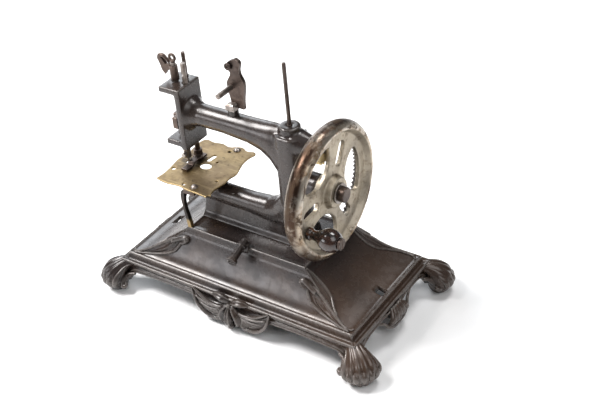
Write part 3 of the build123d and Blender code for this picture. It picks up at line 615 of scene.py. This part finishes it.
LEAF = dict(  # along the leaf, from its tip near the rim to its top: s of the two edges, and the height
    u=(0.035, 0.10, 0.20, 0.32, 0.45, 0.57, 0.67, 0.74, 0.785),
    inner=(0.6, 0.5, 0.3, 0.0, -0.2, -0.3, 0.4, 2.4, 4.4),
    outer=(1.3, 4.2, 8.2, 12.2, 13.6, 11.4, 8.8, 7.4, 6.4),
    height=(0.4, 0.7, 1.0, 1.3, 1.5, 1.6, 1.7, 1.6, 1.2),
)
LOBE = dict(  # the narrower one on the end slope, up to the platform's corner
    u=(0.38, 0.44, 0.53, 0.63, 0.73, 0.82, 0.90, 0.96, 0.985),
    inner=(-0.7, -0.5, -0.4, -0.3, -0.3, -0.3, -0.3, -0.3, -0.3),
    outer=(-1.6, -3.2, -5.4, -6.2, -5.8, -4.6, -3.4, -2.4, -1.4),
    height=(0.4, 0.8, 1.1, 1.3, 1.3, 1.2, 1.1, 1.0, 0.6),
)


def slope_leaf(table, ridges):
    """Ridged leaf laid on the curved side."""
    rows, across = 44, 29
    grid = {k: spline(v, rows)[:, 0] for k, v in table.items()}
    top, low = [], []
    for i in range(rows):
        for j in range(across):
            a = -1 + 2 * j / (across - 1)
            s = grid["inner"][i] + (grid["outer"][i] - grid["inner"][i]) * (a + 1) / 2
            p, n = on_hip(grid["u"][i], s)
            crown = max(1 - abs(a) ** 3.0, 0) ** 0.7
            ridge = 0.62 + 0.38 * math.cos(ridges * PI * a)
            top.append(p + n * (grid["height"][i] * crown * ridge - 0.15))
            low.append(p - n * 0.9)
    verts = top + low
    faces = []
    count = rows * across
    for i in range(rows - 1):
        for j in range(across - 1):
            a = i * across + j
            faces.append((a, a + 1, a + across + 1, a + across))
            faces.append((count + a, count + a + across, count + a + across + 1, count + a + 1))
    rim = list(range(across)) + [i * across + across - 1 for i in range(1, rows)]
    rim += [(rows - 1) * across + j for j in range(across - 2, -1, -1)]
    rim += [i * across for i in range(rows - 2, 0, -1)]
    for a, b in zip(rim, rim[1:] + rim[:1]):
        faces.append((a, count + a, count + b, b))
    return verts, faces


def hip_leaf():
    """Leaf over a hip with raised edges, hooked at its top, and a smaller lobe beside it."""
    parts = [slope_leaf(LEAF, 2.0), slope_leaf(LOBE, 2.0)]
    inner = list(zip(LEAF["u"], LEAF["inner"]))
    outer = list(zip(LEAF["u"], LEAF["outer"]))
    parts.append(cord(hip_path(inner, 0.5), [0.45, 0.8, 1.0, 1.0, 1.0], steps=60))
    parts.append(cord(hip_path(outer, 0.45), [0.45, 0.8, 1.0, 1.1, 1.1], steps=60))
    hook = [(0.66, 2.8), (0.755, 4.6), (0.80, 7.0), (0.765, 9.4), (0.705, 9.9), (0.69, 8.6)]
    parts.append(cord(hip_path(hook, 1.2), [1.5, 1.9, 1.9, 1.6, 1.1], steps=44, sides=16))
    edge = [(0.985, -1.0), (0.90, -3.2), (0.73, -5.9), (0.56, -6.0), (0.43, -2.6),
            (0.30, -0.4), (0.17, 0.2), (0.05, -1.4), (0.015, -3.6)]
    parts.append(cord(hip_path(edge, 0.3), [0.5, 0.75, 0.8, 0.75, 0.6], steps=70))
    return parts


FOOT_LEVELS = (  # centre of the section, its width across the corner and its reach outwards
    ((86.5, 42.0, 18.8), 8.0, 3.5), ((90.8, 45.2, 17.2), 12.5, 5.0), ((94.6, 48.0, 13.4), 19.0, 7.6),
    ((96.4, 49.5, 9.4), 22.6, 9.4), ((96.0, 49.2, 4.6), 19.6, 8.4), ((95.0, 48.4, 0.3), 14.5, 6.4),
)
FLUTES = 7
FLUTE_SPREAD = 1.3                               # radians from the foot's middle to the last flute
FLUTE_PROUD = (-0.6, -0.3, 0.1, 0.2, 0.0, -0.9)  # of the foot's surface, at each level
END_SCROLL = (   # where the edges of the end and the long apron run into the foot
    (92.2, 36.8, 13.6), (94.4, 40.6, 11.6), (98.8, 42.4, 8.8),
    (101.6, 41.4, 6.4), (101.2, 39.6, 6.8), (99.4, 39.8, 8.4),
)
LONG_SCROLL = (
    (80.5, 47.8, 13.4), (85.2, 49.6, 11.6), (87.0, 53.2, 8.6),
    (86.2, 55.4, 6.0), (84.4, 55.0, 6.6), (84.6, 53.6, 8.2),
)


def foot_point(level, a, proud=0.0):
    """Point on the foot's outer side, `a` radians round from its middle."""
    centre, width, reach = FOOT_LEVELS[level]
    outward, across = np.array((0.707, 0.707, 0)), np.array((0.707, -0.707, 0))
    forward = outward * (reach + proud) * math.cos(a)
    return np.array(centre) + forward + across * (width / 2 + proud) * math.sin(a)


def foot():
    """Shell foot at the +X +Y corner: flutes that fan out of the rim's corner over a broad ball."""
    out = [(0.2, 0.2, 1.0), (0.5, 0.5, 0.8), (0.66, 0.66, 0.45),
           (0.7, 0.7, 0.12), (0.7, 0.7, 0.0), (0.7, 0.7, 0.0)]
    centres, widths, reaches = zip(*FOOT_LEVELS)
    parts = [sweep(centres, out, widths, reaches, ribs=7, rib=0.05, sides=96, steps=44, under=0.8)]
    for a in np.linspace(-FLUTE_SPREAD, FLUTE_SPREAD, FLUTES):
        flute = [foot_point(level, a, proud) for level, proud in enumerate(FLUTE_PROUD)]
        facing = (math.cos(a - PI / 4) * 0.9, math.cos(a + PI / 4) * 0.9, 0.45)
        widths, heights = (1.2, 2.0, 3.3, 4.1, 3.4, 1.6), (0.9, 1.1, 1.4, 1.4, 1.1, 0.6)
        parts.append(sweep(flute, facing, widths, heights, sides=16, steps=30))
    for scroll in (END_SCROLL, LONG_SCROLL):
        parts.append(cord(scroll, [0.9, 1.7, 2.3, 2.0, 1.4, 0.9], out=(0.3, 0.3, 1), steps=40, sides=16))
    return [([(x, y, max(z, 0.0)) for x, y, z in verts], faces) for verts, faces in parts]


APRON_OUT = (0, -1, 0.12)                        # the way the front ornament faces
WIDER, DEEPER, TALLER = 1.04, 1.4, 1.14          # its last enlargement, downwards from ORNAMENT_TOP
ORNAMENT_TOP, ORNAMENT_LOW = 21.5, 0.6


def on_apron(points, side=1):
    """Points at the front apron from (x, y from its face, height); side -1 is the left half."""
    return [(x * side, y - RIM_Y, z) for x, y, z in points]


def wing(side):
    """Broad ribbed wing with raised borders, from the bud out to one side."""
    body = ((3.5, 0.6, 13.2), (11, 0.4, 11.2), (19, 0.3, 12.6), (25, 0.4, 16.6), (28.5, 0.5, 21.0))
    lower = ((4.5, -0.8, 8.3), (12, -1.2, 6.3), (20, -1.2, 8.0), (26, -1.1, 13.2), (29.4, -0.5, 22.0))
    upper = ((3.0, -0.9, 16.8), (10, -1.2, 15.6), (17, -1.1, 16.6), (23, -0.9, 19.4), (28.8, -0.4, 22.4))
    widths, heights = (9.0, 10.0, 9.0, 6.0, 1.2), (1.8, 2.1, 2.0, 1.6, 0.8)
    parts = [sweep(on_apron(body, side), APRON_OUT, widths, heights, sides=28, steps=40)]
    parts.append(cord(on_apron(lower, side), [0.9, 1.25, 1.35, 1.1, 0.5], out=APRON_OUT, steps=44))
    parts.append(cord(on_apron(upper, side), [0.85, 0.95, 0.9, 0.8, 0.45], out=APRON_OUT, steps=40))
    return parts + [feather(f, side) for f in np.linspace(0.0, 1.0, 6)]


def feather(f, side):
    """Quill from the bud towards the wing's lower border; f goes from 0, the outermost, to 1."""
    start_x, start_z = 5.0 + 1.5 * f, 15.2 - 4.6 * f
    end_x, end_z = 26.6 - 15.0 * f, 17.6 - 10.4 * f**0.62
    middle_x, middle_z = (start_x + end_x) / 2, (start_z + end_z) / 2 - 1.1 * (1 - f)
    quill = ((start_x, -1.3, start_z), (middle_x, -1.75, middle_z), (end_x, -1.2, end_z))
    return cord(on_apron(quill, side), [0.5, 0.75, 0.55], out=APRON_OUT, sides=10, steps=16)


def ledge_leaf(side):
    """Small leaf that lies over the ledge above the bud."""
    path = ((1.0, 0.2, 20.6), (5.5, -0.3, 22.2), (10.5, 0.2, 22.4), (14.5, 0.8, 21.7))
    widths, heights = (3.4, 4.4, 3.4, 0.8), (1.0, 1.5, 1.2, 0.5)
    return sweep(on_apron(path, side), (0, -0.75, 0.66), widths, heights, ribs=3, rib=0.2, sides=28)


def outer_petal(side):
    path = ((1.2, -0.6, 19.0), (4.0, -1.6, 16.4), (6.2, -1.7, 12.0), (5.6, -1.2, 7.8), (3.6, -0.6, 5.6))
    widths, heights = (2.4, 4.6, 5.2, 3.8, 1.2), (1.2, 1.9, 2.1, 1.6, 0.8)
    return sweep(on_apron(path, side), APRON_OUT, widths, heights, ribs=2, rib=0.16, sides=28)


def middle_petal():
    path = ((0, -0.8, 18.8), (0, -2.2, 15.6), (0, -2.7, 11.4), (0, -2.0, 7.4), (0, -1.0, 5.4))
    widths, heights = (2.0, 4.2, 5.4, 4.0, 1.4), (1.2, 2.0, 2.3, 1.8, 0.8)
    return sweep(on_apron(path), APRON_OUT, widths, heights, ribs=3, rib=0.18, sides=36)


def front_ornament():
    """Two ribbed wings round a three-petal bud, on the apron's outside at -Y."""
    parts = []
    for side in (-1, 1):
        parts += wing(side) + [ledge_leaf(side), outer_petal(side)]
    parts.append(middle_petal())
    parts.append(ball(on_apron([(0, -1.2, 5.0)])[0], 2.1))
    parts.append(ball(on_apron([(0, -1.3, 19.6)])[0], 1.7, 0.8))
    grown = []
    for verts, faces in parts:
        moved = []
        for x, y, z in verts:
            drop = (ORNAMENT_TOP - z) * TALLER
            moved.append((x * WIDER, (y + RIM_Y) * DEEPER - RIM_Y, max(ORNAMENT_TOP - drop, ORNAMENT_LOW)))
        grown.append((moved, faces))
    return grown


def end_scallop():
    """Small ribbed shell under the middle of an end apron, at +X."""
    x = RIM_X
    out = (1, 0, 0.15)
    parts = []
    for a in np.linspace(-1, 1, 5):
        rib = [(x + 0.4, 4.2 * a, 20.4), (x + 3.0, 7.8 * a, 14.8), (x + 1.8, 10.0 * a, 8.4 + 3.2 * a * a)]
        parts.append(sweep(rib, out, (3.4, 5.2, 3.4), (1.4, 2.4, 1.5), sides=18, steps=20))
    for side in (-1, 1):
        lower = [(x + 2.2, 0, 7.0), (x + 2.4, 6.4 * side, 8.2), (x + 1.8, 11.8 * side, 11.6),
                 (x + 0.8, 14.8 * side, 15.6), (x - 0.2, 20 * side, 18.2)]
        parts.append(cord(lower, [1.3, 1.4, 1.2, 1.0, 0.5], out=out, steps=44))
        upper = [(x + 0.6, 2.0 * side, 20.2), (x + 0.4, 8.0 * side, 18.8), (x, 14 * side, 19.0),
                 (x - 0.4, 19 * side, 19.4)]
        parts.append(cord(upper, [0.8, 0.75, 0.6, 0.35], out=out, steps=36))
    return parts


def turned_about(parts, sx, sy):
    return [mirrored(p, sx, sy) for p in parts]


def base_piece(name, parts):
    settle(new_object(name, parts), "frame", "iron_base")


base = new_object("base_casting", [base_shell()])
for centre_x, half_x, half_y in CLAMP_HOLES:
    low_z, high_z = CLAMP_CUT_Z
    cut(base, (centre_x - half_x, -half_y, low_z), (centre_x + half_x, half_y, high_z))
settle(base, "frame", "iron_base", ("base_plate",))
corners = [(sx, sy) for sx in (1, -1) for sy in (1, -1)]
base_piece("hip_leaves", [p for c in corners for p in turned_about(hip_leaf(), *c)])
base_piece("shell_feet", [p for c in corners for p in turned_about(foot(), *c)])
base_piece("apron_fans", front_ornament() + turned_about(front_ornament(), 1, -1))
base_piece("apron_scallops", end_scallop() + turned_about(end_scallop(), -1, 1))
boss_path = [(-0.5, -24.6, 44.5), (-0.5, -26.3, 47.6), (-0.5, -26.0, 51.0), (-0.5, -22.5, 52.6)]
boss = sweep(boss_path, (0, -1, 0.4), (5.0, 7.4, 7.0, 6.0), (1.0, 2.2, 2.4, 1.4), sides=28)
base_piece("front_boss", [boss])

# ---------------------------------------------------------------- frame casting
arm_root = [(HEAD_X - 0.4, 11.0), (HEAD_X + 1.2, 10.2), (HEAD_X + 3.5, 8.6), (HEAD_X + 7.5, 7.5)]
spool_boss = [(130.4, 6.5), (128.6, 6.6), (126.6, 7.4), (124.0, 8.4), (121.0, 8.6)]
saddles = [turned(arm_root, (0, 0, ARM_Z)), turned(spool_boss, (SPOOL_X, 0, 0), "Z")]
cast("machine_frame", 0.6, 12, saddles, name="frame_casting")

# ---------------------------------------------------------------- the other parts, with rounded edges
for node, voxel, rounds in (
    ("handwheel", 0.42, 4), ("cloth_plate", 0.3, 2), ("crank_knob", 0.25, 4), ("knob_screw", 0.18, 2),
    ("hub_bolt", 0.22, 2), ("hub_washer", 0.25, 2), ("front_screw", 0.2, 2), ("frame_bolts", 0.2, 2),
    ("cloth_plate_screws", 0.15, 2), ("plate_bracket", 0.22, 3), ("plate_leg", 0.2, 3),
    ("tension_post", 0.2, 3), ("tension_block", 0.2, 3), ("tension_stud", 0.15, 2),
    ("guide_post", 0.15, 2), ("spool_pin", 0.2, 2), ("needle_bar", 0.2, 2), ("needle_yoke", 0.2, 3),
    ("needle_collar", 0.2, 2), ("presser_bar", 0.18, 2), ("presser_foot", 0.15, 2),
    ("presser_collar", 0.2, 2), ("take_up_hook", 0.12, 2), ("tension_leaf", 0.16, 4),
    ("thread_eye", 0.12, 2), ("looper", 0.15, 2), ("looper_lever", 0.2, 2), ("looper_rod", 0.2, 2),
    ("looper_cam", 0.2, 2), ("head_bush", 0.2, 2), ("wheel_bush", 0.2, 2), ("needle_crank", 0.2, 2),
):
    cast(node, voxel, rounds)

# the thread guide's sleeve on the needle bar, and its bent upper edge
sleeve_path = [(NEEDLE_X, 0, z) for z in (143.0, 148.0, 152.8)]
guide_sleeve = cord(sleeve_path, 2.7, out=(1, 0, 0), sides=24)
bend_path = [(-72.0, 0, 155.6), (-70.4, 0, 157.6), (-67.6, 0, 157.9), (-65.4, 0, 156.2), (-63.2, 0, 154.0)]
guide_bend = cord(bend_path, [0.9, 1.3, 1.3, 1.1, 0.9], out=(0, -1, 0), sides=14)
cast("thread_flag", 0.14, 2, [guide_sleeve, guide_bend])

# the rest keep their CAD shape and take a finish
for node, obj in CAD.items():
    if not obj.hide_render:
        obj.data.materials.clear()
        obj.data.materials.append(MATERIALS[SLOT_OF[node]])

# ---------------------------------------------------------------- floor, light and camera, placed in metres
FLOOR_HALF, FLOOR_Z = 3.0, -0.0002
floor_mesh = bpy.data.meshes.new("floor")
floor_signs = ((-1, -1), (1, -1), (1, 1), (-1, 1))
floor_corners = [(sx * FLOOR_HALF, sy * FLOOR_HALF, FLOOR_Z) for sx, sy in floor_signs]
floor_mesh.from_pydata(floor_corners, [], [(0, 1, 2, 3)])
floor = bpy.data.objects.new("floor", floor_mesh)
bpy.context.scene.collection.objects.link(floor)
paper = Shader("white_paper")
paper_colour = paper.mix(paper.noise(3.0), (0.90, 0.90, 0.90), (0.93, 0.93, 0.93))
paper.finish(paper_colour, paper.band(paper.noise(40.0), 0, 1, 0.7, 0.8), 0.0)
floor_mesh.materials.append(paper.material)

world = bpy.data.worlds.new("studio")
bpy.context.scene.world = world
world.use_nodes = True
background = world.node_tree.nodes["Background"]
background.inputs["Color"].default_value = (0.98, 0.98, 1.0, 1.0)
background.inputs["Strength"].default_value = 0.12


def softbox(name, place, aim_z, size, watts, colour=(1.0, 1.0, 1.0)):
    """Rectangular lamp that faces a point above the origin."""
    data = bpy.data.lights.new(name, "AREA")
    data.shape = "RECTANGLE"
    data.size, data.size_y = size
    data.energy = watts
    data.color = colour
    light = bpy.data.objects.new(name, data)
    light.location = place
    light.rotation_euler = (Vector((0, 0, aim_z)) - Vector(place)).to_track_quat("-Z", "Y").to_euler()
    bpy.context.scene.collection.objects.link(light)


softbox("key_left", (-0.62, -0.26, 0.95), 0.05, (0.45, 0.42), 19.0, (1.0, 0.985, 0.98))
softbox("left_back", (-0.95, 0.75, 0.55), 0.06, (0.8, 0.7), 8.5, (0.90, 0.95, 1.0))
softbox("back_top", (0.15, 0.55, 1.35), 0.0, (0.5, 0.35), 9.0)
softbox("right_fill", (0.80, -0.35, 1.05), 0.04, (0.8, 0.8), 6.0)
softbox("front_left", (-0.62, -0.98, 0.40), 0.04, (0.42, 0.34), 3.6, (0.96, 0.97, 1.0))

TARGET, PLACE = Vector((0.024, 0.004, 0.075)), Vector((0.3609, -0.4497, 0.4714))
ROLL = -5.49          # degrees
camera_data = bpy.data.cameras.new("camera")
camera_data.sensor_width = 36.0
camera_data.lens = 66.3
camera_data.clip_start = 0.01
camera = bpy.data.objects.new("camera", camera_data)
camera.location = PLACE
camera.rotation_mode = "QUATERNION"
level_view = (TARGET - PLACE).to_track_quat("-Z", "Y")
camera.rotation_quaternion = level_view @ Quaternion((0, 0, 1), math.radians(ROLL))
bpy.context.scene.collection.objects.link(camera)
bpy.context.scene.camera = camera

bpy.context.scene.view_settings.view_transform = "Standard"
